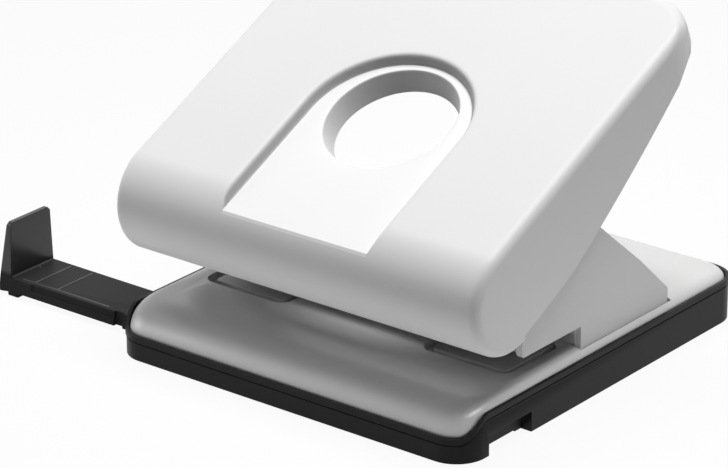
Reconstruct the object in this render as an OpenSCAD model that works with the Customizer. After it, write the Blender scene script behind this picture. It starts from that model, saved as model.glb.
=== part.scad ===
// Two-hole desk punch with a long lever handle, a chip tray and a sliding paper guide.
// Lengths are in millimetres. X runs across the punch, Y from its front edge to its back, and Z is up.
// The origin is the middle of the tray's underside. Inside from_front() the Y values are counted
// from the tray's front edge, and inside on_handle() the frame is tilted with the handle.

/* [Tray] */
// Width of the tray
tray_w = 128; // [122:1:150]
// Depth of the tray from front to back
tray_d = 137; // [126:1:160]
// Corner radius of the tray in plan
tray_corner_r = 10; // [6:0.5:14]
// Thickness of the tray wall
tray_wall = 1.2; // [1.1:0.1:1.8]
// Thickness of the tray floor
tray_floor = 1.5; // [1:0.1:2.5]
// Height of the rim along the sides and the back
rim_side_h = 13.2; // [12.5:0.1:14.2]
// Height of the rim along the front
rim_front_h = 7.6; // [7.4:0.1:9]
// Distance from the front edge at which the rim starts to climb
rim_climb_start = 2.5; // [1.5:0.5:5]
// Length of the climb
rim_climb_len = 9; // [6:0.5:14]
// Height of the bead that runs along the rim
bead_h = 1.7; // [1:0.1:2]
// Height of the groove under the bead
groove_h = 0.6; // [0.4:0.1:1]
// How far the wall stands back from the bead
wall_setback = 0.3; // [0.2:0.05:0.4]
// How far the groove stands back from the bead
groove_setback = 0.6; // [0.45:0.05:0.65]

/* [Paper guide] */
// Depth of the guide bar
guide_w = 19; // [16:0.5:21]
// Thickness of the guide bar
guide_t = 4.6; // [3.6:0.1:4.8]
// Length of the bar from the fence to its inner end
guide_len = 112; // [104:1:124]
// Distance from the front edge to the middle of the bar
guide_y = 22; // [20:0.5:24]
// Distance from the middle of the punch to the fence, as drawn
fence_x = 115.3; // [112:0.5:122]
// Height of the top of the fence
fence_top = 23.4; // [18:0.5:30]
// Thickness of the fence at its top
fence_top_t = 1.7; // [1.2:0.1:2.5]
// Thickness of the fence at its foot
fence_foot_t = 5; // [3:0.1:6]
// Width of a locating notch in the bar
notch_w = 3.2; // [2:0.1:4]
// Depth of a locating notch in the bar
notch_d = 1.2; // [0.8:0.1:2]

/* [Base cover] */
// Height of the cover's flat top
cover_top = 15.2; // [14.9:0.1:17]
// Sheet thickness of the cover
cover_t = 1.2; // [0.8:0.1:1.4]
// Radius of the rolled edge along the sides and the back
side_roll_r = 3.5; // [2.5:0.1:4]
// Depth of the roll along the front, measured back from the front edge
front_roll_d = 13; // [9:0.5:15]
// Height of the roll along the front
front_roll_h = 8; // [7:0.1:8.2]
// Length of a pocket around a die
pocket_len = 31; // [28:0.5:33]
// Distance from the front edge to the front of a pocket
pocket_y = 31; // [30:0.5:34]
// Depth of the pocket below the cover's top
pocket_depth = 2; // [1.5:0.1:2.2]
// Corner radius of a pocket
pocket_r = 4; // [2:0.5:6]

/* [Frame] */
// Thickness of the frame's steel
frame_t = 2; // [1.6:0.1:2.2]
// Depth of an ear's foot
foot_d = 43.2; // [38:0.5:48]
// Radius of the eye of an ear around the axle
ear_eye_r = 7.5; // [6.5:0.1:7.6]
// Height of the paper slot above the cover
slot_h = 5; // [4.6:0.1:5.6]
// Sheet thickness of the bridge that holds the punches
bridge_t = 1.6; // [1.2:0.1:2]
// Height of the bridge
bridge_h = 8.8; // [8:0.1:9.4]
// Depth of the bridge in front of the paper stop
bridge_d = 23; // [20:0.5:25]
// Height of an ear's straight rear edge above the cover
ear_rear_h = 3.9; // [2.5:0.1:6]
// Distance from an ear's rear edge to the kink in its slope
ear_kink_d = 14.7; // [12:0.1:16]
// Height of the kink above the cover
ear_kink_h = 17.4; // [15:0.1:18]
// Height of an ear's peak above the axle
ear_peak_h = 12.4; // [11.5:0.1:13]

/* [Punches] */
// Distance between the two holes
hole_spacing = 80; // [70:1:82]
// Distance from the paper's edge to the middle of a hole
hole_inset = 12; // [11:0.5:13]
// Diameter of a punch
punch_dia = 5.5; // [5:0.1:6]
// Diameter of a punch's head
head_dia = 9; // [8:0.1:10]
// Height of a punch's head
head_h = 2; // [1.5:0.1:2.5]
// Depth of the vee ground into a punch's tip
vee_depth = 1.2; // [0.8:0.1:1.5]
// Diameter of a return spring's wire
spring_wire = 0.7; // [0.6:0.05:0.8]
// Diameter of a return spring, measured between the wire's centres
spring_dia = 8; // [7.8:0.1:8.4]
// Number of curls in a return spring
spring_turns = 5; // [4:1:5]
// Height of a spring cap
cap_h = 1; // [0.8:0.1:1.4]
// Thickness of a die
die_t = 1.4; // [1:0.1:1.6]

/* [Lever] */
// Distance from the front edge to the hinge axle
axle_y = 29.5; // [28.5:0.25:30.5]
// Height of the hinge axle
axle_z = 43; // [42:0.25:44]
// Diameter of the hinge axle
axle_dia = 6; // [5:0.5:7]
// Diameter of the rod that presses the punches down
rod_dia = 7; // [6:0.5:7.5]
// Angle through which the handle is pressed
press_angle = 26; // [24:0.5:27]
// Sheet thickness of a lever bracket
bracket_t = 2; // [1.6:0.1:2.4]

/* [Handle] */
// How far the handle stands out past the tray on each side
handle_overhang = 1.25; // [0.5:0.05:2]
// Length of the handle from the middle of its nose to its far edge
handle_len = 108.5; // [101:0.5:117]
// Slope of the handle at rest
handle_tilt = 25; // [25:0.25:26]
// Radius of the handle's nose
nose_r = 16.6; // [16.2:0.1:17]
// Distance from the front edge to the middle of the nose
nose_y = 20.35; // [19.85:0.05:20.65]
// Height of the middle of the nose
nose_z = 44.1; // [43.9:0.1:44.6]
// Wall thickness of the handle
handle_wall = 2.2; // [1.8:0.1:2.4]
// Radius of the handle's long edges
edge_r = 3; // [2.2:0.1:3.6]
// Radius of the far corners in plan
far_corner_r = 18; // [12:0.5:22]
// Radius of the far edge
far_edge_r = 5; // [4:0.1:6]
// Height of the handle's lower edge at its far end, above the middle of the nose
far_low_z = 9.7; // [7.6:0.1:10.6]
// How far the handle's lower edge bows out
low_edge_bow = 3.1; // [2:0.1:4]
// Half-width of the keyhole recess at the handle's top face
recess_half_w = 27.2; // [25:0.1:28]
// Depth of the keyhole recess
recess_depth = 3; // [2:0.1:3.2]
// How far the recess's side leans in over that depth
recess_lean = 1.3; // [0.5:0.1:2]
// Distance from the middle of the nose to the middle of the recess's round end
recess_arc_y = 35.2; // [34:0.1:37]
// Radius of the handle's eye at its upper rim
eye_r = 20.2; // [18:0.1:21]
// Radius of the eye at the lower end of its collar
eye_low_r = 18.5; // [17:0.1:18.6]
// Distance from the middle of the nose to the middle of the eye
eye_y = 38.9; // [38:0.1:39.5]
// Length of the eye's collar below the recess
collar_len = 7.2; // [5:0.1:8]
// Thickness of the inlay in the recess
inlay_t = 0.6; // [0.4:0.1:0.8]
// Depth of the stiffening ribs under the handle's top
rib_h = 4.5; // [3:0.1:4.8]
// Thickness of a rib
rib_t = 1.6; // [1.2:0.1:2]
// Width of the flange that fastens a lever bracket to the handle
flange_w = 16.8; // [15:0.1:18]

/* [Clearances] */
// Gap between the guide and its channel
guide_gap = 0.3; // [0.2:0.05:0.4]
// Radial gap between a turning or sliding pin and its hole
running_gap = 0.05; // [0.03:0.01:0.08]
// Radial gap between a fixed pin and its hole
fixed_gap = 0.02; // [0.01:0.01:0.03]
// Gap between the rod and the punch heads, and between the rod and its stops
rod_gap = 0.2; // [0.1:0.05:0.3]
// Gap between an ear and its slot in the cover
ear_gap = 0.2; // [0.1:0.05:0.3]
// Gap between an ear and the handle's side wall
side_gap = 2.25; // [1.95:0.05:2.55]
// Gap around the inlay in its recess
inlay_gap = 0.1; // [0.05:0.05:0.3]

/* [Hidden] */
$fn = 48;

// Half sizes and heights that several pieces share.
half_w = tray_w / 2;
far_past = 200;
hair = 0.01;
ledge_z = 6;
ledge_w = tray_wall + 1.4;
cover_gap = 0.2;
cover_half_w = half_w - tray_wall - cover_gap;
cover_front = tray_wall + cover_gap;
cover_back = tray_d - cover_front;
cover_corner_r = tray_corner_r - tray_wall - cover_gap;
roll_start_z = cover_top - front_roll_h;

// The guide's channel and the tunnel in the tray that forms it.
lip_h = 1.1;
lip_w = 2.4;
guide_z = lip_h + 0.2;
guide_back = guide_y + guide_w / 2;
guide_front = guide_y - guide_w / 2;
channel_top = guide_z + guide_t + guide_gap;
tunnel_t = 1.2;
tunnel_top = channel_top + tunnel_t;
end_panel_x = half_w - 2.8;
fence_notches = [105, 148.5];

// Frame, paper stop and bridge. The ears stand inside the handle's side walls.
handle_w = tray_w + 2 * handle_overhang;
ear_out = handle_w / 2 - handle_wall - side_gap;
ear_in = ear_out - frame_t;
punch_x = hole_spacing / 2;
stop_y = 59;
punch_y = stop_y - hole_inset;
foot_back = stop_y + foot_d;
frame_bottom = cover_top - cover_t - frame_t;
bridge_z = cover_top + slot_h;
bridge_front = stop_y - bridge_d;
bridge_back = stop_y + bridge_t;
ear_slot_top = bridge_z + 1.5;

// Pocket and die.
pocket_back = stop_y - 1.5;
pocket_z = cover_top - pocket_depth;
die_edge = 2.5;
chip_hole_r = punch_dia / 2 + 0.85;

// The rod swings evenly above and below the axle's height, so the punches keep pace with it.
half_swing = press_angle / 2;
lever_arm = (punch_y - axle_y) / cos(half_swing);
rod_y = punch_y;
rod_z = axle_z + lever_arm * sin(half_swing);
punch_travel = 2 * lever_arm * sin(half_swing);
rod_r = rod_dia / 2;
axle_r = axle_dia / 2;
punch_r = punch_dia / 2;
tip_z = bridge_z + 0.2;
head_top = rod_z - rod_r - rod_gap;
head_low = head_top - head_h;

// Guide sleeves, guide plates and springs.
sleeve_r = punch_r + 1.45;
flange_r = sleeve_r + 2;
flange_h = 0.8;
plate_z = bridge_z + 5;
plate_half = 11;
sleeve_top = plate_z + bridge_t;
spring_low = sleeve_top + flange_h;
spring_high = head_low - cap_h;
spring_clear = 0.05;

// Lever brackets and the clips beside them.
clip_t = 0.8;
clip_w = 2.2;
clip_gap = 0.2;
bracket_out = ear_in - clip_gap * 2 - clip_t - 0.8;
bracket_in = bracket_out - bracket_t;
flange_in = bracket_out - flange_w;
flange_top = nose_r - handle_wall - 3;
bracket_from = 25;
bracket_to = 63;
boss_spots = [31, 57];
boss_x = flange_in + 6;
boss_r = 4;
rib_x = flange_in - 6;
rib_margin = 6;
cross_ribs = [recess_arc_y + 34, handle_len - 20];
screw_r = 1.5;
rod_half = ear_in - 0.5;
axle_half = ear_out + 0.4;
stop_t = 1.8;

// The handle's own frame: origin in the middle of its nose, Y up the slope, Z square to its top.
handle_half = handle_w / 2;
handle_top = nose_r;
inside_top = nose_r - handle_wall;
recess_floor = handle_top - recess_depth;
pan_t = 2.2;
pan_low = recess_floor - inlay_t - pan_t;
pan_front = 0.3 - nose_r / 2;
collar_r = eye_r + 2;
lip_end = 0.5;

axle_at = to_handle([axle_y, axle_z]);
rod_at = to_handle([rod_y, rod_z]);

// Place of a point (y, z) of the front frame in the handle's frame.
function to_handle(p) = let (y = p[0] - nose_y, z = p[1] - nose_z)
  [y * cos(handle_tilt) + z * sin(handle_tilt), z * cos(handle_tilt) - y * sin(handle_tilt)];

// Height of the tray's rim at a distance y from the front: flat, an S-shaped climb, flat.
function rim_z(y) = let (t = min(1, max(0, (y - rim_climb_start) / rim_climb_len)))
  rim_front_h + (rim_side_h - rim_front_h) * t * t * (3 - 2 * t);

// Height of the handle's lower edge at y: a shallow arc from under the nose to the far end.
function low_edge_z(y) = let (t = y / handle_len)
  -nose_r + (far_low_z + nose_r) * t - 4 * low_edge_bow * t * (1 - t);

// Inset of an elliptical roll with half-axes a and b at a height h above its start.
function roll_inset(a, b, h) = h <= 0 ? 0 : a * (1 - sqrt(max(0, 1 - pow(min(h, b) / b, 2))));

// Points along an arc around c, from angle a0 to a1 in n steps.
function arc(c, r, a0, a1, n) = [for (i = [0:n]) let (a = a0 + (a1 - a0) * i / n) c + r * [cos(a), sin(a)]];

// Outline of a rectangle with round corners, half a width either side of the middle.
function round_rect_points(half, y0, y1, r) = concat(
  arc([half - r, y1 - r], r, 0, 90, 6), arc([r - half, y1 - r], r, 90, 180, 6),
  arc([r - half, y0 + r], r, 180, 270, 6), arc([half - r, y0 + r], r, 270, 360, 6));

// Faces between rings of n points each, with a flat cap at either end.
function ring_faces(rings, n) = concat(
  [[for (k = [0:n - 1]) k]],
  [for (i = [0:rings - 2], k = [0:n - 1], half = [0, 1])
    let (a = i * n + k, b = i * n + (k + 1) % n)
      half == 0 ? [a, a + n, b] : [b, a + n, b + n]],
  [[for (k = [n - 1:-1:0]) (rings - 1) * n + k]]);

// A solid through a row of rings, each with as many points.
module loft(rings) polyhedron(points = [for (ring = rings) each ring],
  faces = ring_faces(len(rings), len(rings[0])));

module from_front() translate([0, -tray_d / 2, 0]) children();

module on_handle() from_front() translate([0, nose_y, nose_z]) rotate([handle_tilt, 0, 0]) children();

// Extrudes an outline drawn in (y, z) along X, from x0 to x1.
module along_x(x0, x1) translate([x0, 0, 0]) rotate([90, 0, 90]) linear_extrude(x1 - x0) children();

module box(x0, x1, y0, y1, z0, z1) translate([x0, y0, z0]) cube([x1 - x0, y1 - y0, z1 - z0]);

// A rod along X between x0 and x1, at (y, z).
module rod_x(r, x0, x1, at) translate([x0, at[0], at[1]]) rotate([0, 90, 0]) cylinder(r = r, h = x1 - x0);

module both_sides() {
  children();
  mirror([1, 0, 0]) children();
}

// A rectangle with true round corners, from (x0, y0) to (x1, y1).
module round_rect(x0, x1, y0, y1, r) {
  translate([x0 + r, y0]) square([x1 - x0 - 2 * r, y1 - y0]);
  translate([x0, y0 + r]) square([x1 - x0, y1 - y0 - 2 * r]);
  for (x = [x0 + r, x1 - r], y = [y0 + r, y1 - r]) translate([x, y]) circle(r);
}

// ---- Tray and paper guide ----

module tray_plan(inset)
  round_rect(inset - half_w, half_w - inset, inset, tray_d - inset, max(1, tray_corner_r - inset));

module tray_block(inset, z0, z1) translate([0, 0, z0]) linear_extrude(z1 - z0) tray_plan(inset);

// Everything below the rim's line, lowered by drop.
module below_rim(drop) along_x(-far_past, far_past)
  polygon(concat(
    [[-far_past, -far_past], [-far_past, rim_front_h - drop]],
    [for (i = [0:12]) let (y = rim_climb_start + rim_climb_len * i / 12) [y, rim_z(y) - drop]],
    [[far_past * 2, rim_side_h - drop], [far_past * 2, -far_past]]));

module chip_tray() color("#2b2b2d") from_front() difference() {
  union() {
    difference() {
      union() {
        intersection() {
          tray_block(wall_setback, 0, rim_side_h);
          below_rim(bead_h + groove_h);
        }
        intersection() {
          tray_block(groove_setback, 0, rim_side_h);
          below_rim(hair);
        }
        intersection() {
          tray_block(0, 0, rim_side_h);
          difference() {
            below_rim(0);
            below_rim(bead_h);
          }
        }
      }
      tray_block(tray_wall, ledge_z, rim_side_h + 1);
      tray_block(ledge_w, tray_floor, rim_side_h + 1);
    }
    box(-half_w + ledge_w - 1, half_w - ledge_w + 1, guide_front - guide_gap - tunnel_t,
      guide_back + guide_gap + tunnel_t, 0, tunnel_top);
    box(-half_w + tray_wall, half_w - tray_wall, guide_front - guide_gap - tunnel_t,
      guide_back + guide_gap + tunnel_t, channel_top, tunnel_top);
  }
  // the guide's channel, open below between its two lips, and closed at the right by a recessed panel
  box(-half_w - 1, end_panel_x - tunnel_t, guide_front - guide_gap, guide_back + guide_gap,
    lip_h, channel_top);
  box(-half_w - 1, end_panel_x - tunnel_t, guide_front + lip_w, guide_back - lip_w, -1, channel_top);
  box(end_panel_x, half_w + 1, guide_front - guide_gap, guide_back + guide_gap, -1, channel_top);
  box(end_panel_x - tunnel_t - hair, half_w + 1, guide_front - guide_gap, guide_back + guide_gap,
    -1, tray_floor);
  box(end_panel_x - tunnel_t - hair, half_w + 1, guide_back - 1.2, guide_back + guide_gap,
    -1, channel_top);
}

module paper_guide() color("#333336") from_front() {
  difference() {
    box(-fence_x - hair, guide_len - fence_x, guide_front, guide_back, guide_z, guide_z + guide_t);
    // locating notches, one for each paper size
    for (d = fence_notches)
      box(d - half_w - fence_x, d - half_w - fence_x + notch_w, guide_front - 1,
        guide_front + notch_d, 0, guide_z + guide_t + 1);
    // the long upper edge at the front is stepped back by a hair's breadth
    box(-fence_x + 8, guide_len - fence_x + 1, guide_front - 1, guide_front + 0.5,
      guide_z + guide_t / 2, guide_z + guide_t + 1);
    // the inner end is drawn in so that it finds its channel
    for (side = [0, 1])
      translate([guide_len - fence_x, guide_front + side * guide_w, 0]) rotate([0, 0, 45])
        cube([3, 3, far_past], center = true);
  }
  // the fence: a wedge that leans against its own foot
  intersection() {
    translate([0, guide_back, 0]) rotate([90, 0, 0]) linear_extrude(guide_w)
      polygon([[-fence_x, guide_z], [-fence_x, fence_top], [-fence_x - fence_top_t, fence_top],
        [-fence_x - fence_foot_t, guide_z + 1.2], [-fence_x - fence_foot_t, guide_z - 0.6],
        [-fence_x - fence_foot_t + 1, guide_z - 0.6]]);
    along_x(-far_past, 0)
      polygon([[guide_front, 0], [guide_front, guide_z + guide_t], [guide_front + 0.8, fence_top - 1],
        [guide_front + 1.8, fence_top + hair], [guide_back - 1.8, fence_top + hair],
        [guide_back - 0.8, fence_top - 1], [guide_back, guide_z + guide_t], [guide_back, 0]]);
  }
  // the foot that slides on the desk
  box(-fence_x - 1.5, -fence_x + 2.6, guide_front, guide_front + 2.4, 0, guide_z + hair);
}

// ---- Base cover ----

// The cover's rolled form, drawn in by t all round: a loft with one plan outline for each height.
module cover_form(t) loft([for (a = [-7.5:7.5:90])
  let (z = a < 0 ? ledge_z - t : roll_start_z + (front_roll_h - t) * sin(a),
    front = roll_inset(front_roll_d - t, front_roll_h - t, z - roll_start_z),
    side = roll_inset(side_roll_r - t, side_roll_r - t, z - (cover_top - side_roll_r)),
    half = cover_half_w - t - side,
    r = max(1.5, cover_corner_r - t - side * 0.6))
  [for (p = round_rect_points(half, cover_front + t + front, cover_back - t - side, r)) [p[0], p[1], z]]]);

module pocket(grow, z0, z1) both_sides() translate([0, 0, z0]) linear_extrude(z1 - z0)
  round_rect(punch_x - pocket_len / 2 - grow, punch_x + pocket_len / 2 + grow,
    pocket_y - grow, pocket_back + grow, pocket_r + grow);

module base_cover() color("#b4b5b6") from_front() difference() {
  union() {
    difference() {
      cover_form(0);
      cover_form(cover_t);
    }
    pocket(cover_t, pocket_z - cover_t, cover_top - cover_t / 2);
  }
  pocket(0, pocket_z, cover_top + 1);
  both_sides() {
    // slot for an ear's foot, a little longer than the foot at the back
    box(ear_in - ear_gap, ear_out + ear_gap, stop_y - ear_gap, foot_back + 1.5,
      frame_bottom - 1, cover_top + 1);
    // hole through which the chips drop
    translate([punch_x, punch_y, 0]) cylinder(r = chip_hole_r, h = far_past);
    // the skirt steps over the guide's tunnel
    box(half_w - ledge_w - 2, half_w, guide_front - guide_gap - tunnel_t - 0.4,
      guide_back + guide_gap + tunnel_t + 0.4, 0, tunnel_top + 0.3);
  }
}

module die(side) color("#8e9194") from_front() difference() {
  translate([0, 0, pocket_z]) linear_extrude(die_t)
    translate([side * punch_x, 0])
      round_rect(die_edge - pocket_len / 2, pocket_len / 2 - die_edge,
        pocket_y + die_edge + 0.5, pocket_back, 1.5);
  translate([side * punch_x, punch_y, 0]) cylinder(r = punch_r + running_gap, h = far_past);
}

module left_die() die(-1);
module right_die() die(1);

// ---- Frame, bridge and punch guides ----

module ear_outline() {
  offset(r = 1.2) offset(delta = -1.2)
    polygon([[stop_y, frame_bottom], [foot_back, frame_bottom], [foot_back, cover_top + ear_rear_h],
      [foot_back - ear_kink_d, cover_top + ear_kink_h], [stop_y + 6.2, axle_z + ear_peak_h - 4.3],
      [stop_y + 1, axle_z + ear_peak_h],
      [punch_y - 3, rod_z + rod_r + 4.2], [axle_y - 2, axle_z + ear_eye_r - 0.3], [axle_y, axle_z],
      [axle_y + 1.8, axle_z - 10], [axle_y + 1.3, ear_slot_top], [stop_y, ear_slot_top]]);
  translate([axle_y, axle_z]) circle(ear_eye_r);
}

module base_frame() color("#a6a7a8") from_front() {
  difference() {
    union() {
      both_sides() along_x(ear_in, ear_out) ear_outline();
      // the web that joins the ears under the cover
      box(-ear_in - hair, ear_in + hair, bridge_back, foot_back - 1.2, frame_bottom,
        frame_bottom + frame_t);
    }
    rod_x(axle_r + fixed_gap, -ear_out - 1, ear_out + 1, [axle_y, axle_z]);
  }
  // tabs that stop the rod's ends
  both_sides() box(bracket_out + clip_gap, ear_in + hair, rod_y - rod_r, rod_y + rod_r - 0.5,
    rod_z + rod_r + rod_gap, rod_z + rod_r + rod_gap + stop_t);
}

module punch_bridge() color("#9c9ea0") from_front() difference() {
  along_x(-ear_in, ear_in)
    polygon([[bridge_front, bridge_z], [stop_y, bridge_z], [stop_y, cover_top], [bridge_back, cover_top],
      [bridge_back, bridge_z + bridge_h], [stop_y, bridge_z + bridge_h], [stop_y, bridge_z + bridge_t],
      [bridge_front + bridge_t, bridge_z + bridge_t], [bridge_front + bridge_t, bridge_z + bridge_h - 2],
      [bridge_front, bridge_z + bridge_h - 2]]);
  both_sides() translate([punch_x, punch_y, 0]) cylinder(r = sleeve_r + fixed_gap, h = far_past);
}

module guide_plate(side) color("#9c9ea0") from_front() difference() {
  translate([side * punch_x, 0, 0])
    box(-plate_half, plate_half, bridge_front + bridge_t, stop_y, plate_z, plate_z + bridge_t);
  translate([side * punch_x, punch_y, 0]) cylinder(r = sleeve_r + fixed_gap, h = far_past);
}

module left_guide_plate() guide_plate(-1);
module right_guide_plate() guide_plate(1);

module guide_sleeve(side) color("#b59a57") from_front() translate([side * punch_x, punch_y, 0])
  difference() {
    union() {
      translate([0, 0, bridge_z]) cylinder(r = sleeve_r, h = sleeve_top - bridge_z + hair);
      translate([0, 0, sleeve_top]) cylinder(r = flange_r, h = flange_h);
    }
    cylinder(r = punch_r + running_gap, h = far_past);
  }

module left_guide_sleeve() guide_sleeve(-1);
module right_guide_sleeve() guide_sleeve(1);

// ---- Hinge axle and rod ----

// An open ring that snaps onto a rod along X.
module snap_ring(r, x0, x1, at) difference() {
  rod_x(r + clip_w, x0, x1, at);
  rod_x(r + fixed_gap, x0 - 1, x1 + 1, at);
  translate([x0 - 1, at[0] - r * 0.7, at[1] - r - clip_w - 1])
    cube([x1 - x0 + 2, r * 1.4, r + clip_w + 1]);
}

module hinge_axle() color("#c3c5c7") from_front()
  rod_x(axle_r, -axle_half, axle_half, [axle_y, axle_z]);

module axle_clips() color("#55585b") from_front() both_sides()
  snap_ring(axle_r, ear_in - clip_gap - clip_t, ear_in - clip_gap, [axle_y, axle_z]);

module pressure_rod() color("#c3c5c7") from_front() rod_x(rod_r, -rod_half, rod_half, [rod_y, rod_z]);

module rod_clips() color("#55585b") from_front() both_sides()
  snap_ring(rod_r, bracket_in - clip_gap - clip_t, bracket_in - clip_gap, [rod_y, rod_z]);

// ---- Punches, caps and return springs ----

module punch(side) color("#d2d4d6") from_front() translate([side * punch_x, punch_y, 0])
  difference() {
    union() {
      translate([0, 0, tip_z]) cylinder(r = punch_r, h = head_low - tip_z + hair);
      translate([0, 0, head_low]) cylinder(r = head_dia / 2, h = head_h - 0.4);
      translate([0, 0, head_top - 0.4]) cylinder(r1 = head_dia / 2, r2 = head_dia / 2 - 0.4, h = 0.4);
    }
    // the vee in the tip, so that the edge cuts progressively
    translate([0, far_past / 2, tip_z]) rotate([90, 0, 0]) linear_extrude(far_past)
      polygon([[-punch_r - 0.2, -hair], [0, vee_depth], [punch_r + 0.2, -hair]]);
  }

module left_punch() punch(-1);
module right_punch() punch(1);

module spring_cap(side) color("#3a3a3c") from_front() translate([side * punch_x, punch_y, 0])
  difference() {
    translate([0, 0, spring_high]) cylinder(r = spring_dia / 2 + spring_wire + 0.6, h = cap_h);
    translate([0, 0, spring_high - 1]) cylinder(r = punch_r + fixed_gap, h = cap_h + 2);
  }

module left_spring_cap() spring_cap(-1);
module right_spring_cap() spring_cap(1);

// Rings of a tube are swept along the spring's line: a helix whose ends run straight up and down.
spring_sides = 6;
spring_steps = 8;
wire_r = spring_wire / 2;
coil_low = spring_low + spring_clear + wire_r + spring_wire;
coil_high = spring_high - spring_clear - wire_r - spring_wire;
coil_pitch = (coil_high - coil_low) / spring_turns;
function coil_at(i) = let (a = 360 * i / spring_steps)
  [spring_dia / 2 * cos(a), spring_dia / 2 * sin(a), coil_low + coil_pitch * i / spring_steps];
coil_last = spring_turns * spring_steps;
spring_line = concat(
  [[spring_dia / 2, 0, spring_low + spring_clear]],
  [for (i = [1:coil_last - 1]) coil_at(i)],
  [[spring_dia / 2, 0, spring_high - spring_clear]]);

function unit(v) = v / norm(v);
function line_dir(line, i) = i == 0 || i == len(line) - 1 ? [0, 0, 1]
  : unit(line[i + 1] - line[i - 1]);
// A ring of the tube around a point of the line: one side faces away from the spring's middle.
function tube_ring(line, i) = let (d = line_dir(line, i), p = line[i],
    out = unit([p[0], p[1], 0] - d * ([p[0], p[1], 0] * d)), across = cross(d, out))
  [for (k = [0:spring_sides - 1]) let (a = 360 * k / spring_sides)
    p + wire_r * (cos(a) * out + sin(a) * across)];

spring_self_gap = min([for (i = [0:len(spring_line) - 1], j = [i + spring_steps - 2:len(spring_line) - 1])
  norm(spring_line[i] - spring_line[j])]) - spring_wire;
echo(spring_self_gap = spring_self_gap);

module return_spring(side) color("#c9cbcd") from_front() translate([side * punch_x, punch_y, 0])
  loft([for (i = [0:len(spring_line) - 1]) tube_ring(spring_line, i)]);

module left_return_spring() return_spring(-1);
module right_return_spring() return_spring(1);

// ---- Lever brackets ----

module lever_bracket(side) color("#8f9295") on_handle() scale([side, 1, 1]) difference() {
  union() {
    along_x(bracket_in, bracket_out) hull() {
      translate(axle_at) circle(6.8, $fn = 32);
      translate(rod_at) circle(5.4, $fn = 32);
      polygon([[bracket_from, flange_top], [bracket_to, flange_top], [bracket_to, flange_top - 3]]);
    }
    box(flange_in, bracket_out, bracket_from, bracket_to, flange_top - bracket_t, flange_top);
  }
  rod_x(axle_r + running_gap, bracket_in - 1, bracket_out + 1, axle_at);
  rod_x(rod_r + fixed_gap, bracket_in - 1, bracket_out + 1, rod_at);
  for (y = boss_spots) translate([boss_x, y, 0]) cylinder(r = screw_r + fixed_gap, h = far_past);
}

module left_lever_bracket() lever_bracket(-1);
module right_lever_bracket() lever_bracket(1);

module bracket_screws() color("#c3c5c7") on_handle() both_sides() for (y = boss_spots)
  translate([boss_x, y, 0]) {
    translate([0, 0, flange_top - bracket_t - 1.6]) cylinder(r = 2.8, h = 1.6);
    translate([0, 0, flange_top - bracket_t - hair]) cylinder(r = screw_r, h = bracket_t + 3.5);
  }

// ---- Handle ----

// Where the far edge lies at a distance x from the middle: straight, then the round corner.
function far_edge(x) = let (r = far_corner_r, past = max(0, abs(x) - (handle_half - r)))
  handle_len - r + sqrt(max(0, r * r - past * past));

// The handle's side profile at x, with its top, nose and far edge drawn in by t and by the
// rounding of the long edges. An open profile drops out below, behind the nose's lip.
function handle_ring(x, t, round_in, open) =
  let (r_far = max(1, far_edge_r - t), mid = far_edge(x) - t - r_far, r = max(0.4, r_far - round_in),
    r_nose = nose_r - t - round_in, far = mid + r)
  [for (p = concat(
    arc([0, 0], r_nose, 90, 270, 20),
    open ? [[lip_end, -r_nose], [lip_end + 6, -2 * nose_r], [far, -2 * nose_r]]
      : [for (i = [1:12]) let (y = far * i / 12) [y, low_edge_z(y) + round_in * max(0, 1 - y / 25)]],
    arc([mid, nose_r - t - r_far], r, 0, 90, 5))) [x, p[0], p[1]]];

// The whole handle as a solid, drawn in by t: a loft of profiles from side to side.
module handle_form(t, open) {
  r_edge = max(0.8, edge_r - t);
  x_edge = handle_half - t - r_edge;
  x_bend = handle_half - far_corner_r;
  right = concat(
    [for (a = [0:15:75]) let (x = x_bend + (far_corner_r - t) * sin(a)) if (x < x_edge - 0.5) [x, 0]],
    [for (a = [0:22.5:90]) [x_edge + r_edge * sin(a), r_edge * (1 - cos(a))]]);
  last = len(right) - 1;
  loft(concat(
    [for (i = [last:-1:0]) handle_ring(-right[i][0], t, right[i][1], open)],
    [for (i = [0:last]) handle_ring(right[i][0], t, right[i][1], open)]));
}

// A keyhole's outline as a solid: a round end and a straight run down to the nose.
module keyhole(r, y0, z0, z1, lean = 0) {
  translate([0, recess_arc_y, z0]) cylinder(r1 = r, r2 = r + lean, h = z1 - z0);
  translate([0, recess_arc_y, 0]) rotate([90, 0, 0]) linear_extrude(recess_arc_y - y0)
    polygon([[-r, z0], [r, z0], [r + lean, z1], [-r - lean, z1]]);
}

// The tapering hole of the eye, wide at the top.
module eye_hole(grow) let (slope = (eye_r - eye_low_r) / collar_len, low = recess_floor - collar_len)
  translate([0, eye_y, low - 4])
    cylinder(r1 = eye_low_r - 4 * slope + grow, r2 = eye_r + 6 * slope + grow, h = collar_len + 10);

recess_r = recess_half_w - recess_lean;
inlay_lean = inlay_t * recess_lean / recess_depth;
inlay_foot_r = recess_r - inlay_lean;

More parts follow.
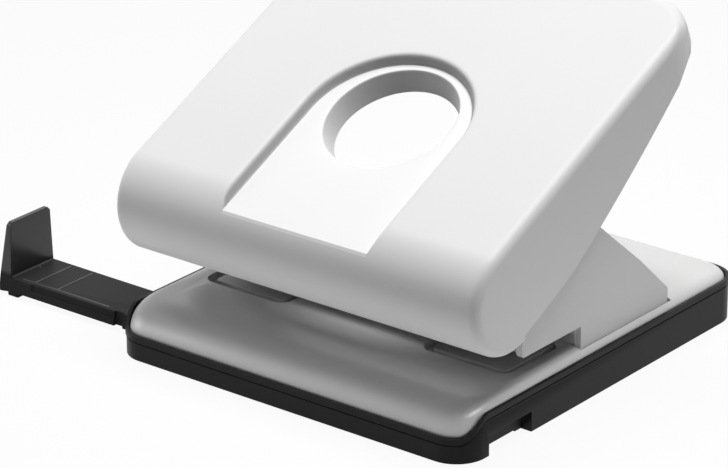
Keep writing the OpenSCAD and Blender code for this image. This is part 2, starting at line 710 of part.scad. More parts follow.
module handle_shell() color("#d9dadb") on_handle() difference() {
  union() {
    difference() {
      handle_form(0, false);
      handle_form(handle_wall, true);
    }
    // pan that carries the keyhole recess, and the collar around the eye
    keyhole(recess_half_w + 1.3, pan_front, pan_low, inside_top + 0.1);
    translate([0, eye_y, recess_floor - collar_len])
      cylinder(r = collar_r, h = collar_len - inlay_t);
    // stiffening ribs under the top
    both_sides() {
      box(rib_x, rib_x + rib_t, -4, handle_len - rib_margin, inside_top - rib_h, inside_top + hair);
      for (y = boss_spots) translate([boss_x, y, flange_top]) cylinder(r = boss_r, h = 3 + hair);
    }
    for (y = cross_ribs)
      box(-handle_half + 1, handle_half - 1, y, y + rib_t, inside_top - rib_h, inside_top + hair);
  }
  keyhole(inlay_foot_r, -nose_r - 2, recess_floor - inlay_t, handle_top + hair,
    (recess_depth + inlay_t) * recess_lean / recess_depth);
  eye_hole(0);
  both_sides() for (y = boss_spots)
    translate([boss_x, y, flange_top - 1]) cylinder(r = screw_r + fixed_gap, h = 4.6);
}

module keyhole_inlay() color("#ededee") on_handle() difference() {
  keyhole(inlay_foot_r - inlay_gap, -nose_r, recess_floor - inlay_t, recess_floor, inlay_lean);
  // its front end lies flush with the nose
  difference() {
    box(-far_past, far_past, -far_past, 0, -nose_r, handle_top * 2);
    rod_x(nose_r, -far_past, far_past, [0, 0]);
  }
  eye_hole(0);
}

chip_tray();
paper_guide();
base_cover();
base_frame();
punch_bridge();
left_guide_plate();
right_guide_plate();
left_guide_sleeve();
right_guide_sleeve();
left_die();
right_die();
hinge_axle();
axle_clips();
left_return_spring();
right_return_spring();
left_punch();
right_punch();
left_spring_cap();
right_spring_cap();
handle_shell();
keyhole_inlay();
left_lever_bracket();
right_lever_bracket();
bracket_screws();
pressure_rod();
rod_clips();
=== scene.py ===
# A two-hole desk punch: a sheet-steel base in a plastic tray, a sprung pair of punches and a wide
# moulded lever handle. Lengths below are in millimetres unless a line says otherwise.
import math
import bmesh
import bpy
import numpy as np
from mathutils import Matrix, Vector


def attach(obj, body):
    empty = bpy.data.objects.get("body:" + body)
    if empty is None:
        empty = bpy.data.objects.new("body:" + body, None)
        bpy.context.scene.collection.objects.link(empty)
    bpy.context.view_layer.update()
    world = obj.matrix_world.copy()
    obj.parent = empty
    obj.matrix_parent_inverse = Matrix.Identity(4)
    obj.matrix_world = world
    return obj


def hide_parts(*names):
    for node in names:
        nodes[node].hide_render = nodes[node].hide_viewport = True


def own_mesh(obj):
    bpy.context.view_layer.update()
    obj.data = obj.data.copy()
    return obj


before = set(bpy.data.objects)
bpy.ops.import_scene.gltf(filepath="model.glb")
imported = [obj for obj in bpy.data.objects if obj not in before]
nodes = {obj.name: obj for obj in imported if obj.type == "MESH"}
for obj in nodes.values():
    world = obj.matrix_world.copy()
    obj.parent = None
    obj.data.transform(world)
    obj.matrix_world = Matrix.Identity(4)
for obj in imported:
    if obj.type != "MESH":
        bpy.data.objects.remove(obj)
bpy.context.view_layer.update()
MM = 0.001

# ---- Camera ----
# The photograph is taken from the front right, a little above, from more than a metre away with a
# long lens, so that the punch fills the frame and its far top edge is cut off by the picture.
CAMERA_AT = (652.2, -852.7, 476.4)
AZIMUTH, ELEVATION, ROLL = (math.radians(a) for a in (38.44, 22.52, -0.18))
LENS, SENSOR = 197.6, 36.0

camera = bpy.data.objects.new("camera", bpy.data.cameras.new("camera"))
bpy.context.scene.collection.objects.link(camera)
back = Vector((math.sin(AZIMUTH) * math.cos(ELEVATION), -math.cos(AZIMUTH) * math.cos(ELEVATION),
               math.sin(ELEVATION)))
level = (-back).cross(Vector((0, 0, 1))).normalized()
upward = level.cross(-back)
right = math.cos(ROLL) * level + math.sin(ROLL) * upward
above = math.cos(ROLL) * upward - math.sin(ROLL) * level
camera.matrix_world = Matrix((
    (right.x, above.x, back.x, CAMERA_AT[0] * MM),
    (right.y, above.y, back.y, CAMERA_AT[1] * MM),
    (right.z, above.z, back.z, CAMERA_AT[2] * MM),
    (0, 0, 0, 1)))
camera.data.lens, camera.data.sensor_width = LENS, SENSOR
camera.data.clip_start, camera.data.clip_end = 0.05, 20
bpy.context.scene.camera = camera
bpy.context.scene.view_settings.view_transform = "Standard"


# ---- Floor and light ----
# A pale seamless table under one large overhead softbox, with a weak fill at the far right and a
# weaker one at the near left. The table shows white to the camera and in gloss, and keeps a soft
# shadow where the punch stands.
class Tone:
    """A socket in a material's tree. Sums, differences and products add a Math node each."""

    def __init__(self, tree, socket=None):
        self.tree, self.socket = tree, socket

    def add(self, kind, settings=None, inputs=None, out=0):
        """Adds one node: its type, its settings, and a value or a tone for each input it names."""
        node = self.tree.nodes.new("ShaderNode" + kind)
        for key, value in (settings or {}).items():
            setattr(node, key, value)
        for key, value in (inputs or {}).items():
            if isinstance(value, Tone):
                self.tree.links.new(value.socket, node.inputs[key])
            else:
                node.inputs[key].default_value = value
        return Tone(self.tree, node.outputs[out] if node.outputs else None)

    def maths(self, operation, a, b=0.0):
        return self.add("Math", {"operation": operation}, {0: a, 1: b})

    def clipped(self):
        """The value, kept between 0 and 1."""
        return self.maths("MINIMUM", self.maths("MAXIMUM", self, 0.0), 1.0)

    def __add__(self, other):
        return self.maths("ADD", self, other)

    def __sub__(self, other):
        return self.maths("SUBTRACT", self, other)

    def __rsub__(self, other):
        return self.maths("SUBTRACT", other, self)

    def __mul__(self, other):
        return self.maths("MULTIPLY", self, other)

    __radd__, __rmul__ = __add__, __mul__


def shaded(dark, light, mask):
    """A colour between two, dark where the mask is 0 and light where it is 1."""
    return mask.add("Mix", {"data_type": "RGBA"}, {0: mask, 6: (*dark, 1), 7: (*light, 1)}, out=2)


def seen_white(tone):
    """1 on rays that the camera sends, and on those that gloss and glass send on, and 0 on others."""
    rays = [tone.add("LightPath", out="Is " + kind + " Ray") for kind in
            ("Camera", "Glossy", "Transmission")]
    return (rays[0] + rays[1] + rays[2]).clipped()


# The table's colour holds a painted pool of light: light round the punch and fading to a dark grey
# farther out, which shows mostly in the light it bounces. Here lengths are in metres.
LIT_POOL_WHITE, UNLIT_FLOOR_GREY, FLOOR_WHITE_SHARE, WORLD_LIGHT = 0.79, 0.10, 0.93, 0.02
POOL_EDGE, POOL_FADE, FLOOR_HALF, FLOOR_Z = 0.12, 0.4, 4.0, -0.00005

floor_mesh = bpy.data.meshes.new("floor")
corners = FLOOR_HALF * np.array([(-1, -1), (1, -1), (1, 1), (-1, 1)])
floor_mesh.from_pydata([(x, y, FLOOR_Z) for x, y in corners.tolist()], [], [(0, 1, 2, 3)])
floor = bpy.data.objects.new("floor", floor_mesh)
bpy.context.scene.collection.objects.link(floor)
floor_paint = bpy.data.materials.new("floor_white")
floor_paint.use_nodes = True
floor_paint.node_tree.nodes.clear()
tone = Tone(floor_paint.node_tree)
away = tone.add("VectorMath", {"operation": "LENGTH"}, {0: tone.add("TexCoord", out="Object")},
                out="Value")
far = ((away - POOL_EDGE) * (1 / POOL_FADE)).clipped()
# The painted pool of light: the table is light near the punch and darker grey away from it.
plain = tone.add("BsdfDiffuse", {}, {"Color": shaded((LIT_POOL_WHITE,) * 3, (UNLIT_FLOOR_GREY,) * 3, far)})
white = tone.add("Emission", {}, {"Color": (1, 1, 1, 1), "Strength": 1.0})
shown = tone.add("MixShader", {}, {0: seen_white(tone) * FLOOR_WHITE_SHARE, 1: plain, 2: white})
tone.add("OutputMaterial", {}, {"Surface": shown})
floor_mesh.materials.append(floor_paint)

world = bpy.data.worlds.new("studio")
world.use_nodes = True
world.node_tree.nodes.clear()
tone = Tone(world.node_tree)
strength = seen_white(tone) * (1 - WORLD_LIGHT) + WORLD_LIGHT
sky = tone.add("Background", {}, {"Color": (1, 1, 1, 1), "Strength": strength})
tone.add("OutputWorld", {}, {"Surface": sky})
bpy.context.scene.world = world


def softbox(name, place, aim, size, watts):
    """An area lamp of a width and a depth, at a place and turned to a point, all in metres."""
    lamp = bpy.data.lights.new(name, "AREA")
    lamp.shape, lamp.size, lamp.size_y, lamp.energy = "RECTANGLE", *size, watts
    holder = bpy.data.objects.new(name, lamp)
    holder.location = place
    holder.rotation_mode = "QUATERNION"
    holder.rotation_quaternion = (Vector(aim) - Vector(place)).to_track_quat("-Z", "Y")
    bpy.context.scene.collection.objects.link(holder)


softbox("overhead", place=(0, 0.19, 1.55), aim=(0, 0, 0.05), size=(1.4, 0.6), watts=27.2)
softbox("fill_right", place=(1.4, 0.8, 0.5), aim=(0, 0, 0.04), size=(0.8, 0.8), watts=2.0)
softbox("card_left", place=(-0.62, -0.33, 0.22), aim=(0, -0.05, 0.03), size=(0.35, 0.35), watts=0.7)


# ---- Chip tray ----
# A shallow tray of black, slightly grained plastic, injection moulded. The punch stands on it and
# is pulled off it to empty the chips.
def finish(name, look, **fixed):
    """A material. look(tone, place) gives the sockets that change over the surface."""
    paint = bpy.data.materials.new(name)
    paint.use_nodes = True
    shader = paint.node_tree.nodes["Principled BSDF"]
    tone = Tone(paint.node_tree)
    for key, value in {**fixed, **look(tone, tone.add("TexCoord", out="Object"))}.items():
        if isinstance(value, Tone):
            paint.node_tree.links.new(value.socket, shader.inputs[key])
        else:
            shader.inputs[key].default_value = value
    return paint


def noise(tone, place, per_mm, detail=2.0, rough=0.5, stretch=(1, 1, 1)):
    """Noise from 0 to 1 with so many waves to a millimetre, drawn out along an axis by stretch."""
    if stretch != (1, 1, 1):
        place = tone.add("Mapping", {}, {"Vector": place, "Scale": stretch})
    return tone.add("TexNoise", {}, {"Vector": place, "Scale": per_mm / MM, "Detail": detail,
                                     "Roughness": rough})


def relief(tone, height, depth_mm):
    """The surface's direction over a relief that is depth_mm deep."""
    return tone.add("Bump", {}, {"Height": height, "Distance": depth_mm * MM, "Strength": 1.0})


def grained_plastic(dark, light, rough, grain=1.6, depth=0.02):
    """Moulded plastic: a spark-eroded grain and a slow, faint cloudiness of colour and gloss."""
    def look(tone, place):
        cloud = noise(tone, place, 0.03, detail=3.0)
        fine = noise(tone, place, grain, detail=3.0, rough=0.6)
        return {"Base Color": shaded(dark, light, cloud * 0.7 + fine * 0.3),
                "Roughness": cloud * 0.10 + fine * 0.06 + (rough - 0.08),
                "Normal": relief(tone, fine, depth)}
    return look


def eased(node, body, paint, width, turn=32, soft=None):
    """A copy of a CAD node with its loose triangles joined and its sharp edges broken by a small
    round of the given width, which stands for the node. soft(a, b) gives the share of that width
    which an edge from a to b gets."""
    joined = bmesh.new()
    joined.from_mesh(nodes[node].data)
    bmesh.ops.remove_doubles(joined, verts=joined.verts, dist=2e-7)
    bmesh.ops.dissolve_limit(joined, angle_limit=math.radians(0.6), verts=joined.verts,
                             edges=joined.edges)
    if soft:
        weight = joined.edges.layers.float.new("bevel_weight_edge")
        for edge in joined.edges:
            if edge.calc_face_angle(0.0) > math.radians(turn):
                edge[weight] = soft(*(vert.co / MM for vert in edge.verts))
    mesh = bpy.data.meshes.new(node + "_eased")
    joined.to_mesh(mesh)
    joined.free()
    piece = bpy.data.objects.new(node + "_eased", mesh)
    bpy.context.scene.collection.objects.link(piece)
    mesh.materials.clear()
    mesh.materials.append(paint)
    mesh.shade_smooth()
    mesh.set_sharp_from_angle(angle=math.radians(turn))
    bevel = piece.modifiers.new("edge", "BEVEL")
    bevel.width, bevel.segments = width * MM, 2
    bevel.limit_method, bevel.angle_limit = "WEIGHT" if soft else "ANGLE", math.radians(turn)
    bevel.harden_normals = True
    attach(piece, body)
    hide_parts(node)
    return piece


tray_black = finish("tray_black", grained_plastic((0.008,) * 3, (0.013,) * 3, 0.42),
                    **{"Specular IOR Level": 0.14})
eased("chip_tray", "tray", tray_black, 0.25)

# ---- Paper guide ----
# A black plastic bar with a leaning fence at its end. It slides in a channel that the tray's floor
# forms, and its notches click into place at the paper sizes.
def in_part(points):
    """Points of the part's own frame in metres."""
    return MM * np.asarray(points, float)


def surface(name, grids, body, paint, place=in_part, turn=30):
    """One mesh from grids of points whose borders meet. Each grid is (points, closed): rows and
    columns of points, and whether its last column joins its first. Borders are welded."""
    points, faces, start = [], [], 0
    for grid, closed in grids:
        rows, cols = grid.shape[:2]
        index = start + np.arange(rows * cols).reshape(rows, cols)
        start += rows * cols
        if closed:
            index = np.hstack([index, index[:, :1]])
        points.append(grid.reshape(-1, 3))
        faces.append(np.stack([index[:-1, :-1], index[:-1, 1:], index[1:, 1:], index[1:, :-1]],
                              -1).reshape(-1, 4))
    mesh = bpy.data.meshes.new(name)
    mesh.from_pydata(place(np.concatenate(points)).tolist(), [], np.concatenate(faces).tolist())
    welded = bmesh.new()
    welded.from_mesh(mesh)
    bmesh.ops.remove_doubles(welded, verts=welded.verts, dist=3e-6)
    bmesh.ops.dissolve_degenerate(welded, edges=welded.edges, dist=1e-6)
    bmesh.ops.recalc_face_normals(welded, faces=welded.faces)
    welded.to_mesh(mesh)
    welded.free()
    mesh.materials.append(paint)
    mesh.shade_smooth()
    mesh.set_sharp_from_angle(angle=math.radians(turn))
    piece = bpy.data.objects.new(name, mesh)
    bpy.context.scene.collection.objects.link(piece)
    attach(piece, body)
    return piece


# The bar's top, and the fence's polish: the height it starts at, its ramp and its full strength.
BAR_TOP, POLISH_FROM, POLISH_OVER, POLISH = 5.9, 6.5, 1.5, 0.8
# The fence's foot, the bar's edges, and the ridge at the foot with the pip beside it.
FENCE_X, BAR_NEAR, BAR_FAR = -115.3, -56.0, -37.0
FOOT_GAP, FOOT_WIDTH, FOOT_HEIGHT = 0.6, 0.9, 0.45
PIP_Y, PIP_FROM, PIP_TO, PIP_HEIGHT = -44.8, 0.8, 1.9, 0.5
# Two lines across the bar and one along its edge, low enough for the channel's roof.
LINES_X, NEAR_GAP, FAR_GAP, LINE_WIDTH, LINE_HEIGHT = (-107.1, -98.3), 2.2, 1.2, 0.6, 0.2
EDGE_GAP, EDGE_FROM, EDGE_TO = 1.9, 3.0, -77.5


def ridge(start, end, width, height, n=12):
    """A low round ridge on the bar's top between two points (x, y): an ellipse carried along a
    line, half of it sunk below the surface, and drawn together over the last bit at both ends."""
    start, end = np.array([*start, BAR_TOP]), np.array([*end, BAR_TOP])
    length = np.linalg.norm(end - start)
    along = (end - start) / length
    side = np.array([-along[1], along[0], 0.0])
    angle = np.linspace(0, 2 * math.pi, n, endpoint=False)[:, None]
    ring = np.cos(angle) * side * width / 2 + np.sin(angle) * np.array([0, 0, height])
    taper = np.array([0.0, 0.6, 1.0, 1.0, 0.6, 0.0])[:, None, None]
    stops = np.array([0.0, 0.1, 0.4, -0.4, -0.1, 0.0])[:, None, None] * min(1, length)
    middle = np.array([start] * 3 + [end] * 3)[:, None, :] + stops * along
    return middle + ring * taper, True


def guide_plastic(tone, place):
    """Grained plastic on the bar, and polished faces on the fence above it."""
    height = tone.add("SeparateXYZ", {}, {"Vector": place}, out="Z")
    polish = ((height - POLISH_FROM * MM) * (1 / (POLISH_OVER * MM))).clipped()
    sockets = grained_plastic((0.026,) * 3, (0.036,) * 3, 0.5)(tone, place)
    return {**sockets, "Coat Weight": polish * POLISH}


guide_black = finish("guide_black", guide_plastic,
                     **{"Specular IOR Level": 0.04, "Coat Roughness": 0.25})
eased("paper_guide", "guide", guide_black, 0.3)
# The ridges' lighter grey is a painted highlight along them; their lower roughness is their own
# gloss.
ridge_highlight_grey = finish("ridge_highlight_grey", grained_plastic((0.035,) * 3, (0.055,) * 3, 0.35))
ridges = [ridge((FENCE_X, BAR_NEAR + FOOT_GAP), (FENCE_X, BAR_FAR - FOOT_GAP), FOOT_WIDTH,
                FOOT_HEIGHT),
          ridge((FENCE_X + PIP_FROM, PIP_Y), (FENCE_X + PIP_TO, PIP_Y), FOOT_WIDTH, PIP_HEIGHT)]
for x in LINES_X:
    ridges.append(ridge((x, BAR_NEAR + NEAR_GAP), (x, BAR_FAR - FAR_GAP), LINE_WIDTH, LINE_HEIGHT))
ridges.append(ridge((FENCE_X + EDGE_FROM, BAR_NEAR + EDGE_GAP), (EDGE_TO, BAR_NEAR + EDGE_GAP),
                    LINE_WIDTH, LINE_HEIGHT))
surface("guide_ridges", ridges, "guide", ridge_highlight_grey)


# ---- Base cover ----
# Pressed sheet steel with rolled edges and two pressed pockets around the dies, lacquered silver.
# It closes the tray from above, and the paper slides in over it.
def silver_lacquer(tone, place):
    """Fine metal flake under a satin lacquer."""
    flake = noise(tone, place, 3.0, detail=1.0)
    cloud = noise(tone, place, 0.02, detail=2.0)
    mask = flake * 0.6 + cloud * 0.4
    return {"Base Color": shaded((0.65, 0.65, 0.645), (0.72, 0.72, 0.715), mask),
            "Roughness": flake * 0.05 + cloud * 0.05 + 0.30,
            "Normal": relief(tone, flake, 0.002)}


# A pocket's box, the punch's place in it, how near to that an edge belongs to the hole, and the
# share of the round that all edges but the pockets' get.
POCKET_BOX = ((23.5, 56.5), (-38.5, -10.0), (13.0, 15.4))
PUNCH_X, PUNCH_Y, HOLE_NEAR, OTHER_SHARE = 40.0, -21.5, 5.0, 0.3


def pocket_rim(a, b):
    """1 for the edges of a pressed pocket, inside and at its rim, and a small share elsewhere."""
    middle = (a + b) / 2
    near = all(low < value < high for value, (low, high) in
               zip((abs(middle.x), middle.y, middle.z), POCKET_BOX))
    hole = math.hypot(abs(middle.x) - PUNCH_X, middle.y - PUNCH_Y) < HOLE_NEAR
    return 1.0 if near and not hole else OTHER_SHARE


cover_silver = finish("cover_silver", silver_lacquer, Metallic=0.15)
eased("base_cover", "base", cover_silver, 1.1, turn=40, soft=pocket_rim)

# ---- Frame ----
# Two folded ears of sheet steel that carry the hinge axle, joined by a web under the cover and
# painted a grey close to the handle's.
frame_grey = finish("frame_grey", grained_plastic((0.76,) * 3, (0.81,) * 3, 0.45, grain=1.0,
                                                  depth=0.006))
eased("base_frame", "base", frame_grey, 0.25)


# ---- Bridge, guide plates, sleeves and dies ----
# A zinc-plated steel channel with a plate over each of its ends, which hold the punches square in
# brass sleeves pressed into them. The two dies of hardened steel lie below, in the cover's pockets.
def rolled_steel(dark, light, rough, axis=(0.05, 1, 1)):
    """Plated sheet with faint drawn-out rolling marks along one axis."""
    def look(tone, place):
        marks = noise(tone, place, 1.5, detail=3.0, stretch=axis)
        cloud = noise(tone, place, 0.06, detail=3.0)
        return {"Base Color": shaded(dark, light, marks * 0.6 + cloud * 0.4),
                "Roughness": marks * 0.12 + cloud * 0.08 + (rough - 0.1),
                "Normal": relief(tone, marks, 0.004)}
    return look


bridge_steel = finish("bridge_steel", rolled_steel((0.45, 0.46, 0.47), (0.6, 0.61, 0.62), 0.3),
                      Metallic=1.0)
die_steel = finish("die_steel", rolled_steel((0.50,) * 3, (0.60,) * 3, 0.5), Metallic=0.35)
sleeve_brass = finish("sleeve_brass", rolled_steel((0.52, 0.40, 0.20), (0.66, 0.52, 0.28), 0.3),
                      Metallic=1.0)
eased("punch_bridge", "base", bridge_steel, 0.2)
for side in ("left", "right"):
    eased(side + "_guide_plate", "base", bridge_steel, 0.15)
    eased(side + "_die", "base", die_steel, 0.12)
    eased(side + "_guide_sleeve", "base", sleeve_brass, 0.12)

# ---- Axle and its clips ----
# A bright turned steel pin through the frame's ears, which carries the handle. A clip of dark
# spring steel in a groove at each of its ends keeps it in place.
bright_steel = finish("bright_steel", rolled_steel((0.6, 0.61, 0.62), (0.7, 0.71, 0.72), 0.22),
                      Metallic=1.0)
clip_steel = finish("clip_steel", rolled_steel((0.05, 0.05, 0.055), (0.09, 0.09, 0.095), 0.4),
                    Metallic=0.6)
eased("hinge_axle", "base", bright_steel, 0.3)
eased("axle_clips", "base", clip_steel, 0.08)

# ---- Punches and springs ----
# Hardened steel punches with a plastic cap each. A coil spring of plated wire round each punch pushes
# its cap up; on the real punch it closes up by the punch's stroke when the handle is pressed, but
# here the coil is drawn at rest.
spring_steel = finish("spring_steel", rolled_steel((0.5, 0.51, 0.52), (0.66, 0.67, 0.68), 0.25),
                      Metallic=1.0)
punch_steel = finish("punch_steel", rolled_steel((0.6, 0.61, 0.62), (0.74, 0.75, 0.76), 0.2),
                     Metallic=1.0)
cap_black = finish("cap_black", grained_plastic((0.03,) * 3, (0.045,) * 3, 0.4))
# The spring's two seats, its radii and turns, how much an end turn rises, and the punch's stroke.
SPRING_FOOT, SPRING_TOP, COIL_R, WIRE_R, TURNS = 27.65, 40.29, 4.0, 0.35, 6.5
END_RISE, STROKE = 2.1 * WIRE_R, 8.1


def coil(x, sides=10, steps=28):
    """A spring's wire: a ring carried along a helix. The height rises by little more than one wire
    over the first and the last turn, so that the ends lie flat, and evenly between them. The wire's
    ends are drawn together to close it."""
    s = np.linspace(0, TURNS, int(TURNS * steps) + 1)
    rise = SPRING_TOP - SPRING_FOOT - 2 * WIRE_R
    height = np.interp(s, [0, 1, TURNS - 1, TURNS], [0, END_RISE, rise - END_RISE, rise])
    out = np.stack([np.cos(2 * math.pi * s), np.sin(2 * math.pi * s), 0 * s], -1)
    up = np.array([0.0, 0.0, 1.0])
    path = np.array([x, PUNCH_Y, SPRING_FOOT + WIRE_R]) + COIL_R * out + height[:, None] * up
    angle = np.linspace(0, 2 * math.pi, sides, endpoint=False)[None, :, None]
    wire = path[:, None] + WIRE_R * (np.cos(angle) * out[:, None] + np.sin(angle) * up)
    ends = [np.broadcast_to(p, (1, sides, 3)) for p in (path[0], path[-1])]
    return np.concatenate([ends[0], wire, ends[1]]), True


for side, x in (("left", -PUNCH_X), ("right", PUNCH_X)):
    eased(side + "_punch", side + "_punch", punch_steel, 0.12)
    eased(side + "_spring_cap", side + "_punch", cap_black, 0.12)
    spring = surface(side + "_coil", [coil(x)], "base", spring_steel, turn=60)
    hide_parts(side + "_return_spring")
    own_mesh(spring)

# ---- Handle ----
# One moulding of silver-grey plastic: a thick round nose, a flat top with a keyhole recess, a
# round eye with a collar, and walls that hang down at the sides and the far edge.

# Half the width, the length from the nose's middle, the nose's radius, the edges' rounds, and the
# least that the inside keeps of those rounds.
HALF, LENGTH, NOSE = 65.25, 108.5, 16.6
LONG_EDGE, FAR_EDGE, FAR_CORNER, LEAST_EDGE, LEAST_FAR = 3.0, 5.0, 18.0, 0.8, 0.4
# The wall, and the tilt and the nose's middle (y, z) in the part's frame.
HANDLE_WALL, TILT, NOSE_MIDDLE = 2.2, math.radians(25), (-48.15, 44.1)
INSIDE_TOP = NOSE - HANDLE_WALL
# The lower edge: its height at the far end, its bow, and the runs of its rounding and its start.
FAR_LOW, LOW_BOW, LIP_RUN, LIP_START = 9.7, 3.1, 25.0, 1.2
# The keyhole and the inlay on its floor, the eye and its collar, and the pan under the keyhole.
RECESS_MIDDLE, INLAY_TOP, INLAY_T, INLAY_HALF = 35.2, 13.6, 0.6, 25.9
EYE_MIDDLE, EYE_TOP_R, EYE_LOW_R = 38.9, 20.2, 18.5
COLLAR_STOPS, COLLAR_LOW, COLLAR_EASE, COLLAR_R = (11.0, 9.0), 6.4, 0.3, 22.2
PAN_HALF, PAN_LEDGE, PAN_FLARE = 28.5, 1.2, 0.4
# The keyhole's leaning wall: its direction, and the curves that join it to the floor and the top.
LEAN, FLOOR_LEDGE = np.array([0.33, 0.944]), 1.3
FOOT_OUT, FOOT_UP, RIM_OUT, RIM_DOWN, RIM_PAST = 0.4, 0.9, 1.4, 1.0, 1.2


def on_handle(points):
    """Points of the handle's own frame, with Y up its slope, in the part's frame and in metres."""
    x, y, z = np.moveaxis(np.asarray(points, float), -1, 0)
    return MM * np.stack([x, NOSE_MIDDLE[0] + y * math.cos(TILT) - z * math.sin(TILT),
                          NOSE_MIDDLE[1] + y * math.sin(TILT) + z * math.cos(TILT)], -1)


def curve(a, b, c, n):
    """Points of a quadratic curve that leaves a towards b and reaches c from b. The last axis of
    a, b and c holds a point's parts, and the curve's own axis is put before it."""
    s = np.linspace(0, 1, n)[:, None]
    a, b, c = (np.asarray(p, float)[..., None, :] for p in (a, b, c))
    return (1 - s) ** 2 * a + 2 * s * (1 - s) * b + s ** 2 * c


def low_edge(y):
    """Height of the lower edge: a straight line to the far end, bowed down by a parabola."""
    s = y / LENGTH
    return -NOSE + (FAR_LOW + NOSE) * s - 4 * LOW_BOW * s * (1 - s)


def shell_point(x, q, t):
    """The handle's outside, drawn in by t, at x across and q along its side profile. Below 0, q is
    minus the arc length round the nose, then it is the distance up the flat top, and past its end
    the arc length round the far edge and the share of the far wall. The long edges are quarter
    rounds, which draw the profile in, and the far corners are arcs in plan."""
    edge, far, corner = max(LEAST_EDGE, LONG_EDGE - t), FAR_EDGE - t, FAR_CORNER - t
    out = np.clip(np.abs(x) - (HALF - t - edge), 0, edge)
    drop = edge - np.sqrt(edge ** 2 - out ** 2)
    past = np.clip(np.abs(x) - (HALF - t - corner), 0, corner)
    mid = LENGTH - t - corner + np.sqrt(corner ** 2 - past ** 2) - far
    top_end = LENGTH - t - far
    nose = NOSE - t - drop
    r_far = np.maximum(LEAST_FAR, far - drop)
    a = np.clip(-q / (NOSE - t), 0, math.pi)
    b = np.clip((q - top_end) / far, 0, math.pi / 2)
    wall = np.clip(q - top_end - far * math.pi / 2, 0, 1)
    y = np.where(q < 0, -nose * np.sin(a), np.where(q < top_end, q / top_end * mid,
                                                  mid + r_far * np.sin(b)))
    arc_z = NOSE - FAR_EDGE + r_far * np.cos(b)
    z = np.where(q < 0, nose * np.cos(a), np.where(q < top_end, nose, arc_z))
    return np.stack([x, y, z - wall * (z - low_edge(y))], -1)


def keyhole_sides(floor_z, t):
    """Stations up the left side of the keyhole, round its end and down its right side. Returns q
    of each, its direction across (x, q), and its place and height (y, z) on the handle's outside."""
    nose, top_end = NOSE - t, LENGTH - t - (FAR_EDGE - t)
    up = np.concatenate([-nose * np.linspace(math.acos(floor_z / nose), 0, 20, endpoint=False),
                         np.linspace(0, RECESS_MIDDLE, 14, endpoint=False)])
    q_end = top_end + (FAR_EDGE - t) * math.pi / 2 + 1
    corner = math.atan2(q_end - RECESS_MIDDLE, HALF - t)
    turn = np.concatenate([np.linspace(0, corner - 0.1, 16, endpoint=False),
                           np.linspace(corner - 0.1, corner, 8, endpoint=False),
                           np.linspace(corner, corner + 0.1, 8, endpoint=False),
                           np.linspace(corner + 0.1, math.pi / 2, 16)])
    turn = np.concatenate([math.pi - turn, turn[-2::-1]])
    q = np.concatenate([up, np.full(len(turn), RECESS_MIDDLE), up[::-1]])
    angle = np.concatenate([np.full(len(up), math.pi), turn, np.zeros(len(up))])
    across = np.stack([np.cos(angle), np.sin(angle)], -1)
    across[np.abs(across) < 1e-12] = 0
    on_nose = np.minimum(q, 0) / nose
    return q, across, np.where(q < 0, nose * np.sin(on_nose), q), nose * np.cos(on_nose)


def recess_side(z, t):
    """Cross-section of the recess at each station as (distance across, height above its floor).
    Outside, a soft foot and a soft rim join a leaning wall. Inside, the pan has plain walls."""
    floor_z = INLAY_TOP - INLAY_T - t
    h = z - floor_z

    def row(across, height):
        return np.stack(np.broadcast_arrays(across, height), -1).astype(float)
    if t:
        out = np.concatenate([[-PAN_LEDGE, 0], np.zeros(7), np.linspace(0, PAN_FLARE, 8)])
        up = np.concatenate([[0, 0], np.linspace(0, 1, 7), np.ones(8)])
        return floor_z, row(PAN_HALF + out, h[:, None] * up)
    full = np.clip((z - INLAY_TOP) / (NOSE - INLAY_TOP), 0, 1)
    foot = row(INLAY_HALF, np.minimum(INLAY_T, h))
    base, rim = foot + row(FOOT_OUT * full, 0), row(INLAY_HALF + RIM_OUT * full, h)
    lean = full[:, None] * LEAN
    return floor_z, np.concatenate([
        row(INLAY_HALF - FLOOR_LEDGE, 0 * h)[:, None], row(INLAY_HALF, 0 * h)[:, None],
        curve(foot, base, base + FOOT_UP * lean, 7),
        curve(rim - RIM_DOWN * lean, rim, rim + row(RIM_PAST * full, 0), 8)], 1)


